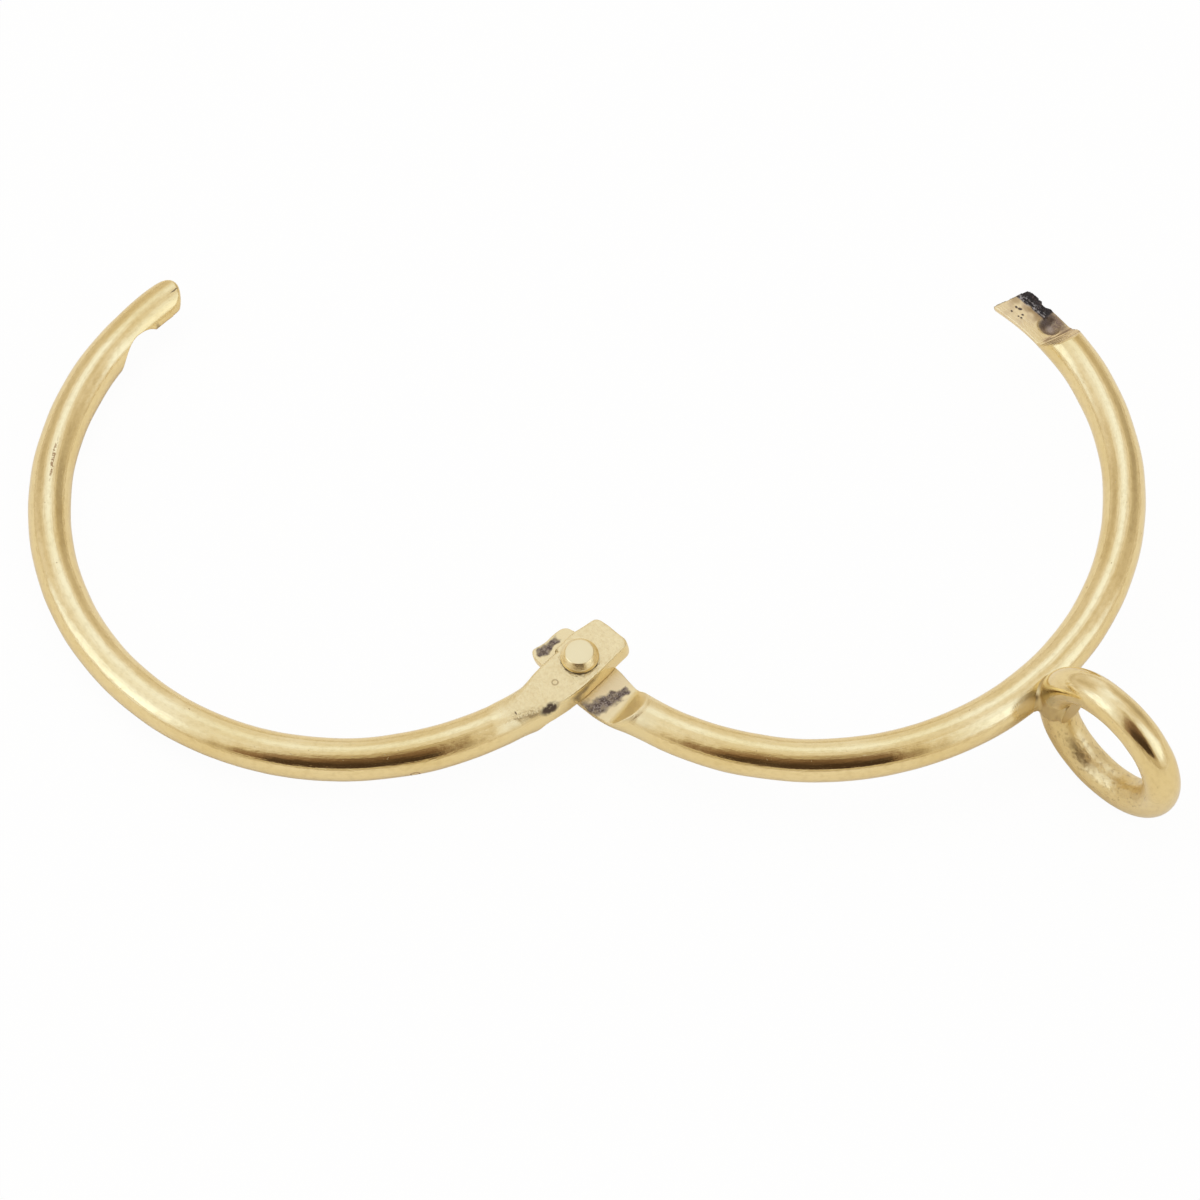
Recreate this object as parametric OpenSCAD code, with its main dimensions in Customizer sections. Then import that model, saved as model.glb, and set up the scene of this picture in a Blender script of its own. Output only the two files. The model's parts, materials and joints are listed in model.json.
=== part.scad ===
// Hinged curtain ring: two round wire halves on a riveted hinge, closed by a snap half-lap,
// with a round wire eyelet brazed on for the curtain hook.
// The ring lies open on a flat surface. It leans a little, because one side is propped on the eyelet.
// Each half is drawn in its own frame: hinge pin at the origin, ring centre along +Y,
// wire leaving the pin along +X, mid-plane of the wire at z = 0.

/* [Ring] */
// Inside diameter of the closed ring
inside_d = 40; // [30:1:60]
// Diameter of the ring wire
wire_d = 3; // [2.6:0.1:3.6]
// Angle that the ring stands open, counted from closed
open_deg = 96.4; // [60:0.1:120]

/* [Hinge] */
// Distance of the hinge pin inside the centre line of the wire
pin_inset = 0.2; // [0:0.05:0.4]
// Diameter of the rivet's shank
pin_d = 1.5; // [1.2:0.1:1.8]
// Radial clearance of the shank in the leaf that turns on it
pin_clear = 0.04; // [0.02:0.01:0.08]
// Gap between the two hinge leaves, and under the rivet's head
face_gap = 0.06; // [0.02:0.01:0.12]
// Width of the pressed hinge leaf
leaf_w = 4.1; // [3.6:0.1:4.6]
// Height of the leaf's pressed face from the wire's mid-plane
leaf_face = 1.25; // [1:0.05:1.3]
// Reach of the leaf past the pin
leaf_reach = 3.2; // [2.8:0.1:3.5]
// Draw-in of the leaf's round flanks at the pressed face
flank_in = 0.3; // [0.1:0.05:0.5]
// Length of the sloping inner corner at the leaf's end
leaf_corner_len = 2.2; // [1:0.1:2.5]
// Depth of that sloping corner
leaf_corner_in = 0.85; // [0.3:0.05:1.2]
// Rounding of the leaf's outer corner
leaf_round = 0.6; // [0.3:0.1:1]
// Distance from the pin to the foot of the step up to the full wire
leaf_step = 4.4; // [4.2:0.1:5.2]
// Distance from the pin to the end of the pressed flat on the wire
flat_reach = 6.3; // [5.8:0.1:8]
// Distance from the pin to the waist on the inner side of the leaf
waist_reach = 4.2; // [3.8:0.1:4.6]
// Half width of the leaf at that waist
waist_in = 1.45; // [1.3:0.05:1.7]
// Shift of the leaf's taper toward the outside of the ring
taper_out = 0.45; // [0:0.05:0.5]

/* [Rivet] */
// Diameter of the rivet's head
head_d = 2.65; // [2.3:0.05:3]
// Diameter of the flat on top of the head
head_top_d = 1.8; // [1.2:0.1:2]
// Height of the head
head_h = 0.75; // [0.5:0.05:1]
// Height of the straight rim under the head's bevel
head_rim_h = 0.25; // [0.1:0.05:0.4]
// Diameter of the hammered tail under the hinge
tail_d = 2.4; // [2.1:0.1:2.8]
// Height of the hammered tail
tail_h = 0.45; // [0.3:0.05:0.6]

/* [Catch] */
// Turn of the eye half from the pin to its free end
eye_half_deg = 187.3; // [180:0.1:190]
// Length of the lower lap's flat
lap_len = 4.55; // [4:0.05:5.5]
// Slope of the filed shoulders at the lap and at the hinge
shoulder_slope = 47; // [35:1:75]
// Gap between the tooth's end and the shoulder when the catch is shut
lap_gap = 0.12; // [0.05:0.01:0.3]
// Angle that the halves still stand apart when the catch is shut
shut_deg = 1.3; // [0:0.1:2]
// Slant of the lower lap's cut end, longer on the inside of the ring
end_slant_deg = 15; // [0:1:20]
// Sideways fall of the lower lap's face, down to the outside of the ring
lap_fall_deg = 8; // [0:1:10]
// Distance from the upper lap's end to the middle of the scooped neck behind its tooth
neck_back = 4.7; // [4.5:0.1:5.2]
// Height of the neck's underside above the wire's mid-plane
neck_rise = 0.85; // [0.5:0.05:0.95]
// Radius of the neck's scoop
neck_r = 2.1; // [1.6:0.1:2.4]
// Height of the bevel under the tooth's end
tooth_bevel = 0.7; // [0.3:0.05:1]
// Diameter of the locking pip under the tooth
pip_d = 1.1; // [0.9:0.1:1.3]
// Drop of the pip below the tooth
pip_drop = 0.3; // [0.15:0.05:0.4]
// Distance of the pip from the foot of the lap's shoulder
pip_back = 1.05; // [0.9:0.05:1.3]
// Distance of the pip outside the centre line of the wire
pip_out = 0.35; // [0:0.05:0.4]
// Clearance round and under the pip in its pocket
pip_clear = 0.25; // [0.15:0.05:0.4]

/* [Eyelet] */
// Inside diameter of the eyelet
eye_bore = 7; // [6.5:0.1:9]
// Diameter of the eyelet's wire
eye_wire_d = 2.6; // [2:0.05:2.8]
// Turn from the hinge pin to the eyelet
eye_deg = 92.8; // [85:0.1:100]
// Depth that the eyelet's wire is let into the side of the ring wire
eye_sink = 0.95; // [0.8:0.05:1.4]
// Film of braze between the eyelet and the ring wire
braze_film = 0.08; // [0.04:0.01:0.15]
// Radius of the braze round the joint
braze_r = 1.85; // [1.7:0.05:2.4]

/* [Hidden] */
$fn = 96;
brass = [0.86, 0.77, 0.5];
ring_r = (inside_d + wire_d) / 2;
pin_r = ring_r - pin_inset;
step_deg = asin(leaf_step / ring_r);
// Reach of the tooth past the foot of the shoulder when shut
tooth_over = tooth_bevel / tan(shoulder_slope) - lap_gap;
shut_shift = 2 * pin_r * shut_deg * PI / 180;
lug_half_deg = 360 - eye_half_deg + turn(lap_len + tooth_over + shut_shift);
eye_r = (eye_bore + eye_wire_d) / 2;
eye_out = ring_r + wire_d / 2 - eye_sink + eye_wire_d / 2 + eye_r;
// Room that a cut needs round the wire
room = wire_d;

// Turn for a length of wire
function turn(len) = len / ring_r * 180 / PI;

// Places in the plane of the open ring, with the hinge pin at the origin
eye_dir = 90 - open_deg / 2;
centre_x = pin_r * cos(eye_dir);
centre_y = pin_r * sin(eye_dir);
eyelet_dir = eye_dir - 180 + eye_deg;
eyelet_x = centre_x + eye_out * cos(eyelet_dir);
eyelet_y = centre_y + eye_out * sin(eyelet_dir);
reach_left = centre_x + ring_r;
// Lean that brings the eyelet and the far side of the lug half down to one surface
lean = asin((eye_r + eye_wire_d / 2 - wire_d / 2) / (eyelet_x + reach_left));
lift = reach_left * sin(lean) + wire_d / 2;
box_right = eyelet_x * cos(lean) + eye_r * cos(eyelet_dir) + eye_wire_d / 2;
box_left = -reach_left * cos(lean) - wire_d / 2;
box_front = eyelet_y + eye_r * sin(eyelet_dir) - eye_wire_d / 2;
box_back = centre_y + (ring_r + wire_d / 2) * sin(eye_dir - 180 + eye_half_deg);

module laid() {
    translate([-(box_left + box_right) / 2, -(box_front + box_back) / 2, lift])
        rotate([0, -lean, 0])
            children();
}

module eye_half_place() {
    laid() rotate([0, 0, -open_deg / 2]) children();
}

module lug_half_place() {
    laid() rotate([0, 0, open_deg / 2]) mirror([1, 0, 0]) children();
}

// Frame on the wire's circle, turned from the pin: +X outward, +Y along the wire
module on_ring(turn_deg) {
    translate([0, pin_r, 0]) rotate([0, 0, turn_deg - 90]) children();
}

// Round wire along the circle, from one turn to another
module wire(from_deg, to_deg) {
    on_ring(from_deg)
        rotate_extrude(angle = to_deg - from_deg)
            translate([ring_r, 0]) circle(d = wire_d);
}

// Height of the wire's centre line over the pin, at a distance along X
function wire_y(x) = pin_r - sqrt(ring_r * ring_r - x * x);

// Plan of a hinge leaf: past the pin to -X, running into the wire to +X
module leaf_plan() {
    half_w = leaf_w / 2;
    difference() {
        polygon([
            [-leaf_reach, -half_w],
            [flat_reach, -half_w],
            [flat_reach, wire_y(flat_reach) + leaf_face],
            [waist_reach, waist_in],
            [leaf_step / 2, half_w],
            [leaf_corner_len - leaf_reach, half_w],
            [-leaf_reach, half_w - leaf_corner_in]
        ]);
        translate([-leaf_reach, -half_w]) corner_waste(leaf_round);
    }
}

// What a rounded corner loses
module corner_waste(r) {
    difference() {
        translate([-r, -r]) square(2 * r);
        translate([r, r]) circle(r = r);
    }
}

// Envelope of the leaf: round flanks, then a taper to the round of the wire
module swage() {
    len_x = flat_reach - leaf_round;
    rise_y = wire_y(flat_reach) + taper_out;
    wide_r = norm([leaf_face, leaf_w / 2]);
    intersection() {
        union() {
            translate([-leaf_reach - room, -leaf_w, -wire_d])
                cube([leaf_reach + room + leaf_round, 2 * leaf_w, 2 * wire_d]);
            translate([leaf_round, -taper_out, 0])
                rotate([0, 90, atan(rise_y / len_x)])
                    cylinder(h = norm([len_x, rise_y]), r1 = wide_r, r2 = wire_d / 2);
        }
        flank(-1);
        flank(1);
    }
}

// Round flank of the leaf on one side
module flank(side) {
    flank_r = (leaf_face * leaf_face / flank_in + flank_in) / 2;
    translate([-leaf_reach - room, side * (flank_r - leaf_w / 2), 0])
        rotate([0, 90, 0])
            cylinder(h = leaf_reach + 2 * room + flat_reach, r = flank_r);
}

// Wire of a half with its hinge leaf: the lower half of a lap, pressed flat beneath, bored for the pin
module leafed_wire(turn_deg, bore_d) {
    difference() {
        union() {
            wire(0, turn_deg);
            intersection() {
                translate([0, 0, -leaf_face]) linear_extrude(2 * leaf_face) leaf_plan();
                swage();
            }
        }
        translate([-leaf_reach - room, -leaf_w, -leaf_face - wire_d])
            cube([leaf_reach + room + flat_reach, 2 * leaf_w, wire_d]);
        on_ring(step_deg)
            translate([ring_r - leaf_w, 0, -face_gap / 2])
                mirror([0, 1, 0])
                    shoulder_waste(2 * leaf_w, 2 * leaf_step + room);
        translate([0, 0, -wire_d]) cylinder(h = 2 * wire_d, d = bore_d);
    }
}

// What is filed away above a flat: level from the foot of its shoulder along +Y, and rising behind the foot
module shoulder_waste(width, run) {
    rotate([90, 0, 90])
        linear_extrude(width)
            polygon([[0, 0], [run, 0], [run, wire_d], [-wire_d / tan(shoulder_slope), wire_d]]);
}

// Half with the lower hinge leaf, the lower half of the lap and the eyelet on its side
module eye_half() {
    shoulder_deg = eye_half_deg - turn(lap_len);
    color(brass) eye_half_place() difference() {
        leafed_wire(eye_half_deg + end_slant_deg / 2, pin_d);
        on_ring(shoulder_deg)
            translate([ring_r - wire_d / 2, 0, -face_gap / 2])
                rotate([0, lap_fall_deg, 0])
                    translate([-room, 0, 0])
                        shoulder_waste(3 * room, 2 * lap_len);
        on_ring(eye_half_deg)
            translate([ring_r, 0, -wire_d])
                rotate([0, 0, -end_slant_deg])
                    translate([-room, 0, 0])
                        cube([2 * room, 2 * lap_len, 2 * wire_d]);
        on_ring(shoulder_deg + turn(pip_back))
            translate([ring_r + pip_out, 0, -face_gap / 2 - pip_drop - pip_clear])
                cylinder(h = wire_d, d = pip_d + 2 * pip_clear);
    }
}

// What the upper lap loses beneath, along the wire and up: the scooped neck, a level face under the tooth
// and the bevel at its end
module upper_lap_waste() {
    bevel_len = tooth_bevel / tan(shoulder_slope);
    polygon([
        [-bevel_len, -wire_d],
        [-bevel_len, face_gap / 2],
        [0, face_gap / 2 + tooth_bevel],
        [neck_r, face_gap / 2 + tooth_bevel],
        [neck_r, -wire_d]
    ]);
    translate([-neck_back, neck_rise - neck_r]) circle(r = neck_r);
    translate([-neck_back - neck_r, -wire_d])
        square([neck_back + 2 * neck_r, wire_d + neck_rise - neck_r]);
    translate([-neck_back, -wire_d])
        square([neck_back + neck_r, wire_d + face_gap / 2]);
}

// Half with the upper hinge leaf and the upper half of the lap, with its tooth, neck and pip
module lug_half() {
    color(brass) lug_half_place() {
        difference() {
            mirror([0, 0, 1]) leafed_wire(lug_half_deg, pin_d + 2 * pin_clear);
            on_ring(lug_half_deg)
                translate([ring_r - room, 0, 0])
                    rotate([90, 0, 90])
                        linear_extrude(2 * room) upper_lap_waste();
            // Rounded end
            on_ring(lug_half_deg)
                translate([ring_r, -wire_d / 2, -wire_d])
                    linear_extrude(2 * wire_d)
                        difference() {
                            translate([-room, 0]) square([2 * room, room]);
                            circle(d = wire_d);
                        }
        }
        on_ring(lug_half_deg - turn(tooth_over + pip_back))
            translate([ring_r + pip_out, 0, face_gap / 2 - pip_drop])
                cylinder(h = pip_drop + neck_rise, d = pip_d);
    }
}

// Rivet, tight in the lower leaf, with its factory head on top and its hammered tail beneath
module hinge_rivet() {
    under_head = leaf_face + face_gap / 2;
    color(brass) eye_half_place() rotate_extrude()
        polygon([
            [0, -leaf_face - tail_h],
            [tail_d / 4, -leaf_face - tail_h],
            [tail_d / 2, -leaf_face - tail_h / 2],
            [tail_d / 2, -leaf_face],
            [pin_d / 2, -leaf_face],
            [pin_d / 2, under_head],
            [head_d / 2, under_head],
            [head_d / 2, under_head + head_rim_h],
            [head_top_d / 2, under_head + head_h],
            [0, under_head + head_h]
        ]);
}

// Frame of the eyelet: +X outward from the ring, hole along +Y
module eyelet_place() {
    eye_half_place() on_ring(eye_deg) translate([eye_out, 0, 0]) children();
}

module eyelet_wire() {
    rotate([90, 0, 0]) rotate_extrude() translate([eye_r, 0]) circle(d = eye_wire_d);
}

// Ring wire as a cutter, grown by the film of braze
module wire_seat(film) {
    translate([-eye_out, 0, 0])
        rotate([0, 0, -30])
            rotate_extrude(angle = 60)
                translate([ring_r, 0]) circle(r = wire_d / 2 + film);
}

// Round wire eyelet, coped to sit on the side of the ring wire
module eyelet() {
    color(brass) eyelet_place() difference() {
        eyelet_wire();
        wire_seat(braze_film);
    }
}

// Braze that holds the eyelet: a film in the cope and a collar round the joint
module braze_joint() {
    color(brass) eyelet_place() difference() {
        translate([-eye_r, 0, 0]) sphere(r = braze_r);
        wire_seat(0);
        difference() {
            eyelet_wire();
            wire_seat(braze_film);
        }
        translate([-eye_r + eye_wire_d / 2, -room, -room]) cube([room, 2 * room, 2 * room]);
    }
}

eye_half();
lug_half();
hinge_rivet();
eyelet();
braze_joint();
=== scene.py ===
import json
import math

import bmesh
import bpy
import numpy as np
from mathutils import Matrix, Vector


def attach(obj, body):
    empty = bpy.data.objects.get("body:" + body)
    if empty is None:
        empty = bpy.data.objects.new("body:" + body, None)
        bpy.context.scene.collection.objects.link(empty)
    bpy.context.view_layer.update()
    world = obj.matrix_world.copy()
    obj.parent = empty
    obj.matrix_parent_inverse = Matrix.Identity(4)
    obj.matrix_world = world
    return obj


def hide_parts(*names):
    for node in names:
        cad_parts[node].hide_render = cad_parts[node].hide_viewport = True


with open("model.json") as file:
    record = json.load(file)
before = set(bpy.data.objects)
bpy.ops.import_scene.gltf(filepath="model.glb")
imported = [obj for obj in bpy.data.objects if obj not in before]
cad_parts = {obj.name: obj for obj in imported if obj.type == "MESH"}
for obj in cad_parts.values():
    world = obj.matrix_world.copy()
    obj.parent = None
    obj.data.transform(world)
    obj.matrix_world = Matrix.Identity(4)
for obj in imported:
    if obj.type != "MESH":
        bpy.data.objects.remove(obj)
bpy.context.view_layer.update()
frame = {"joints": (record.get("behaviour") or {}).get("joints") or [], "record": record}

# ---------------------------------------------------------------- Eye half
# The right-hand half of the ring, one length of round brass wire, drawn, bent and polished. Its near end
# is pressed to the lower hinge leaf, stained brown where the leaves rub. Its far end is filed to the
# lower half of the lap, with a pocket for the pip, and its outer edge has crumbled to a black crust.

MM = 0.001
PIN = Vector(frame["joints"][0]["pos_m"])
PIN_AXIS = Vector(frame["joints"][0]["axis"]).normalized()
MOUNTS = {mount["name"]: mount for mount in frame["record"]["mounts"]}
EYE_CENTRE = Vector(MOUNTS["pole_passage"]["pos_m"])

WIRE_R = 1.5
DRAWN_THINNER = 0.03
PIN_R = (EYE_CENTRE - PIN).length / MM
RING_R = PIN_R + 0.2
FACE_GAP = 0.06
FILED_SLOPE = math.radians(47)

LEAF_W = 4.1
LEAF_FACE = 1.25
LEAF_REACH = 3.2
LEAF_FLANK_IN = 0.3
LEAF_STEP = 4.4
LEAF_FLAT_REACH = 6.3
LEAF_FLAT_RUN = 2.6
TAPER_START = 0.6
TAPER_OUT = 0.45
BORE_R = 0.75
STEP_R = 0.22

EYE_LEN = RING_R * math.radians(187.3)
LAP_LEN = 4.55
LAP_FALL = math.radians(8)
END_SLANT = math.radians(15)
POCKET_R = 0.82
POCKET_DEPTH = 0.42
POCKET_OUT = 0.35
POCKET_BACK = 3.5
CRUST_LEN = 2.75
CRUST_EDGE = [0, 0.5, 1.2, 1.8, 2.3, 2.6], [0.75, 0.55, 0.34, 0.42, 0.5, 0.95]
BITE_BACK, BITE_HALF, BITE_DEPTH = 2.1, 0.4, 0.28


def both(a, b, r):
    """What lies in both shapes, with the edge where they meet rounded to r."""
    return np.minimum(-r, np.maximum(a, b)) + np.hypot(np.maximum(r + a, 0), np.maximum(r + b, 0))


def either(a, b, r):
    """What lies in either shape, with the corner where they meet filled to r."""
    return np.maximum(r, np.minimum(a, b)) - np.hypot(np.maximum(r - a, 0), np.maximum(r - b, 0))


def inside_outline(points, x, y):
    """Distance of each x, y from a closed outline, below zero inside it."""
    corners = np.array(points, float)
    nearest = np.full(x.shape, np.inf)
    inside = np.zeros(x.shape, bool)
    for (ax, ay), (bx, by) in zip(corners, np.roll(corners, -1, axis=0)):
        ex, ey = bx - ax, by - ay
        along = np.clip(((x - ax) * ex + (y - ay) * ey) / (ex * ex + ey * ey), 0, 1)
        nearest = np.minimum(nearest, np.hypot(x - ax - along * ex, y - ay - along * ey))
        if ay != by:
            inside ^= ((ay > y) != (by > y)) & (x < ax + (y - ay) * ex / ey)
    return np.where(inside, -nearest, nearest)


def unevenness(seed, size, creased=False):
    """A smooth random field of the given feature size in millimetres, about -1 to 1, or one with creases."""
    random = np.random.default_rng(seed)
    ways = random.normal(size=(9, 3)) * 2 / size
    starts = random.uniform(0, 2 * math.pi, 9)

    def field(x, y, z):
        waves = [np.sin(way[0] * x + way[1] * y + way[2] * z + start) for way, start in zip(ways, starts)]
        if creased:
            waves = [1.6 - 2.5 * np.abs(wave) for wave in waves]
        return sum(waves) / math.sqrt(len(waves))

    return field


def wire_y(x):
    return PIN_R - math.sqrt(RING_R ** 2 - x ** 2)


def wire_place(x, y):
    """Distance along the wire from the pin, and distance outward of the wire's centre line."""
    turn = (np.arctan2(x, PIN_R - y) + math.pi / 3) % (2 * math.pi) - math.pi / 3
    return turn * RING_R, np.hypot(x, y - PIN_R) - RING_R


def straight_from(length, x, y):
    """Distances outward and along a straight line that touches the wire at that length from the pin."""
    turn = length / RING_R
    dx = x - RING_R * math.sin(turn)
    dy = y - PIN_R + RING_R * math.cos(turn)
    return dx * math.sin(turn) - dy * math.cos(turn), dx * math.cos(turn) + dy * math.sin(turn)


bend_swell = unevenness(3, 4.0)
knocks = unevenness(8, 1.1)
LEAF_CORNER_R = 0.65
LEAF_OUTLINE = [
    (LEAF_CORNER_R - LEAF_REACH, LEAF_CORNER_R - LEAF_W / 2),
    (LEAF_FLAT_REACH, LEAF_CORNER_R - LEAF_W / 2),
    (LEAF_FLAT_REACH, wire_y(LEAF_FLAT_REACH) + LEAF_FACE - LEAF_CORNER_R),
    (4.2, 1.4 - LEAF_CORNER_R),
    (2.2, LEAF_W / 2 - LEAF_CORNER_R),
    (-0.85, LEAF_W / 2 - LEAF_CORNER_R),
    (LEAF_CORNER_R - LEAF_REACH, LEAF_W / 2 - 1.2),
]


def plain_wire(x, y, z):
    _, out = wire_place(x, y)
    return np.hypot(out, z) - WIRE_R + DRAWN_THINNER + 0.02 * bend_swell(x, y, z) + 0.0035 * knocks(x, y, z)


def leafed_wire(x, y, h):
    """Wire and pressed leaf near the pin. h is the height towards the side of the other leaf."""
    wire = both(plain_wire(x, y, h), -x - 1.0, 0.3)
    plan = inside_outline(LEAF_OUTLINE, x, y) - LEAF_CORNER_R + 0.03 + 0.035 * knocks(x, y, h)
    rise = wire_y(LEAF_FLAT_REACH) + TAPER_OUT
    run = LEAF_FLAT_REACH - TAPER_START
    length = math.hypot(run, rise)
    dx, dy = x - TAPER_START, y + TAPER_OUT
    down_taper = np.maximum((dx * run + dy * rise) / length, 0)
    wide_r = math.hypot(LEAF_FACE, LEAF_W / 2) + 0.1
    taper = np.hypot((dy * run - dx * rise) / length, h) - wide_r - (WIRE_R - wide_r) * down_taper / length
    taper = np.where(dx < 0, -1.0, taper)
    flank_r = (LEAF_FACE ** 2 / LEAF_FLANK_IN + LEAF_FLANK_IN) / 2
    flanks = np.hypot(np.abs(y) + flank_r - LEAF_W / 2, h) - flank_r
    leaf = both(both(plan, flanks, 0.6), taper, 0.8) + 0.14 * np.clip((x - 3.8) / 2.5, 0, 1) ** 2
    fill = 0.12 + 0.5 * np.clip((5.6 - x) / 2.5, 0, 1)
    body = either(wire, leaf, fill) + 0.01 + 0.006 * knocks(x, y, h)
    # Pressed flat, which runs out along the wire
    run_out = np.clip(x - LEAF_FLAT_REACH + LEAF_FLAT_RUN, 0, None)
    pressed = LEAF_FACE + run_out * (WIRE_R - LEAF_FACE) / LEAF_FLAT_RUN + 0.1 * np.clip(x - LEAF_FLAT_REACH,
                                                                                         0, 1)
    edge = 0.14 + 0.5 * np.clip((x - 3.5) / 3, 0, 1)
    body = both(body, -h - pressed + 0.004 * bend_swell(x, y, h), edge)
    # Mating face, and the filed step up to the full wire
    _, beyond = straight_from(RING_R * math.asin(LEAF_STEP / RING_R), x, y)
    level = h + FACE_GAP / 2
    step = level * math.cos(FILED_SLOPE) - beyond * math.sin(FILED_SLOPE) + 0.015 * knocks(x, y, h)
    return both(body, either(level, step, STEP_R), 0.07)


crumbling = unevenness(21, 0.7, creased=True)
grit = unevenness(22, 0.22, creased=True)


def lower_lap(x, y, z):
    """The filed end of the eye half: slanted end, lap face, shoulder, pocket and crust."""
    along, out = wire_place(x, y)
    back = EYE_LEN - along
    lumps, grains = crumbling(x, y, z), grit(x, y, z)
    out_s, along_s = straight_from(EYE_LEN - LAP_LEN, x, y)
    level = (z + FACE_GAP / 2) * math.cos(LAP_FALL) + (out_s + WIRE_R) * math.sin(LAP_FALL)
    shoulder = level * math.cos(FILED_SLOPE) + along_s * math.sin(FILED_SLOPE)
    shoulder = shoulder + 0.02 * np.sin(along_s * 21 + 3 * out_s)
    crust_edge = np.interp(back, *CRUST_EDGE)
    crust = np.clip((CRUST_LEN - back) / 0.3, 0, 1) * np.clip((out - crust_edge - 0.1 * lumps) / 0.18, 0, 1)
    face = level + 0.006 * knocks(x, y, z) - crust * np.clip(0.13 + 0.09 * lumps + 0.05 * grains, 0, 0.32)
    body = both(plain_wire(x, y, z), either(face, shoulder, 0.3), 0.05)
    bitten = BITE_DEPTH * np.exp(-((back - BITE_BACK) / BITE_HALF) ** 2) + 0.22 * np.clip((0.4 - back) / 0.5,
                                                                                          0, 1)
    crumbled = out - 1.42 + bitten + np.where(back < CRUST_LEN, 0.1 * lumps + 0.06 * grains, 0)
    body = both(body, np.where(back < 4, crumbled, -9.0), 0.04)
    out_e, along_e = straight_from(EYE_LEN, x, y)
    end = out_e * math.sin(END_SLANT) + along_e * math.cos(END_SLANT) + 0.02 * lumps + 0.02 * grains
    body = both(body, end + 0.3 * np.clip(out_e - 0.7, 0, 1), 0.05)
    out_p, along_p = straight_from(EYE_LEN - POCKET_BACK, x, y)
    bowl_r = (POCKET_R ** 2 + POCKET_DEPTH ** 2) / (2 * POCKET_DEPTH)
    middle = -FACE_GAP / 2 - (WIRE_R + POCKET_OUT) * math.sin(LAP_FALL) + bowl_r - POCKET_DEPTH
    bowl = np.sqrt((out_p - POCKET_OUT) ** 2 + along_p ** 2 + (z - middle) ** 2) - bowl_r
    return both(body, -bowl - 0.015 * lumps, 0.06)


def made_of(plain, *ends):
    """One metal shape from the plain wire and the shapes of its ends, each between two lengths."""
    def metal(x, y, z):
        x, y, z = np.broadcast_arrays(x, y, z)
        along, _ = wire_place(x, y)
        shape = plain(x, y, z)
        for start, stop, end_shape in ends:
            here = (along > start) & (along < stop)
            shape[here] = end_shape(x[here], y[here], z[here])
        return shape

    return metal


def surface_along(metal, origins, ways, reach, halvings=11):
    """Where rays from inside the metal come out of it."""
    shape = ways.shape
    origins, ways = np.broadcast_to(origins, shape).reshape(-1, 3), ways.reshape(-1, 3)
    low, high = np.zeros(len(ways)), np.full(len(ways), float(reach))
    inside = np.arange(len(ways))
    for step in np.linspace(0, reach, 32)[1:]:
        outside = metal(*(origins[inside] + ways[inside] * step).T) > 0
        high[inside[outside]] = step
        inside = inside[~outside]
        low[inside] = step
    for _ in range(halvings):
        middle = (low + high) / 2
        outside = metal(*(origins + ways * middle[:, None]).T) > 0
        high = np.where(outside, middle, high)
        low = np.where(outside, low, middle)
    return (origins + ways * ((low + high) / 2)[:, None]).reshape(shape)


def spaced(*stretches):
    """Positions along stretches, each given as start, stop and spacing."""
    parts = [np.linspace(a, b, max(2, round((b - a) / gap)), endpoint=False) for a, b, gap in stretches]
    return np.concatenate(parts + [[stretches[-1][1]]])


def wire_rings(metal, lengths, outs, sides=144, cap_rings=28):
    """Rings of surface points along a wire, with each end closed by rays that fan round to a point."""
    turns = lengths / RING_R
    outward = np.stack([np.sin(turns), -np.cos(turns), 0 * turns], 1)
    forward = np.stack([np.cos(turns), np.sin(turns), 0 * turns], 1)
    heights = np.linspace(-1.9, 1.9, 153)
    line = np.array([0, PIN_R, 0]) + outward * (RING_R + outs)[:, None]
    filled = metal(line[:, :1], line[:, 1:2], heights[None]) < 0
    centres = line + np.array([0, 0, 1]) * ((filled * heights).sum(1) / filled.sum(1))[:, None]
    angles = np.tile(np.linspace(0, 2 * math.pi, sides, endpoint=False), (len(turns), 1))
    for last in (False, True):
        around = outward[:, None] * np.cos(angles)[..., None] + np.array([0, 0, 1]) * np.sin(angles)[...,
                                                                                                     None]
        tube = surface_along(metal, centres[:, None], around, 3.0, 11 if last else 4)
        if not last:
            # Even spacing round each ring
            gaps = np.linalg.norm(np.roll(tube, -1, axis=1) - tube, axis=2) + 0.01
            travelled = np.concatenate([np.zeros((len(turns), 1)), np.cumsum(gaps, 1)], 1)
            full = np.concatenate([angles, np.full((len(turns), 1), 2 * math.pi)], 1)
            share = np.linspace(0, 1, sides, endpoint=False)
            angles = np.array([np.interp(share * t[-1], t, a) for t, a in zip(travelled, full)])
            soft = np.pad(angles, ((3, 3), (0, 0)), mode="edge")
            angles = sum(soft[i:i + len(turns)] for i in range(7)) / 7
    fan = np.radians(np.linspace(90, 0, cap_rings, endpoint=False))[1:]
    fan = np.append(fan, 0.0)[:, None, None]
    caps = []
    for end, sense in ((0, -1), (-1, 1)):
        ways = around[end] * np.sin(fan) + sense * forward[end] * np.cos(fan)
        caps.append(surface_along(metal, centres[end], ways, 4.5))
    return np.concatenate([caps[0][::-1], tube, caps[1]])


def slope_of(metal, points, step=0.012):
    """Directions straight out of the metal at points on it."""
    slope = np.zeros_like(points)
    for axis in range(3):
        nudge = np.eye(3)[axis] * step
        slope[:, axis] = metal(*(points + nudge).T) - metal(*(points - nudge).T)
    return slope / np.maximum(np.linalg.norm(slope, axis=1, keepdims=True), 1e-9)


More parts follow.
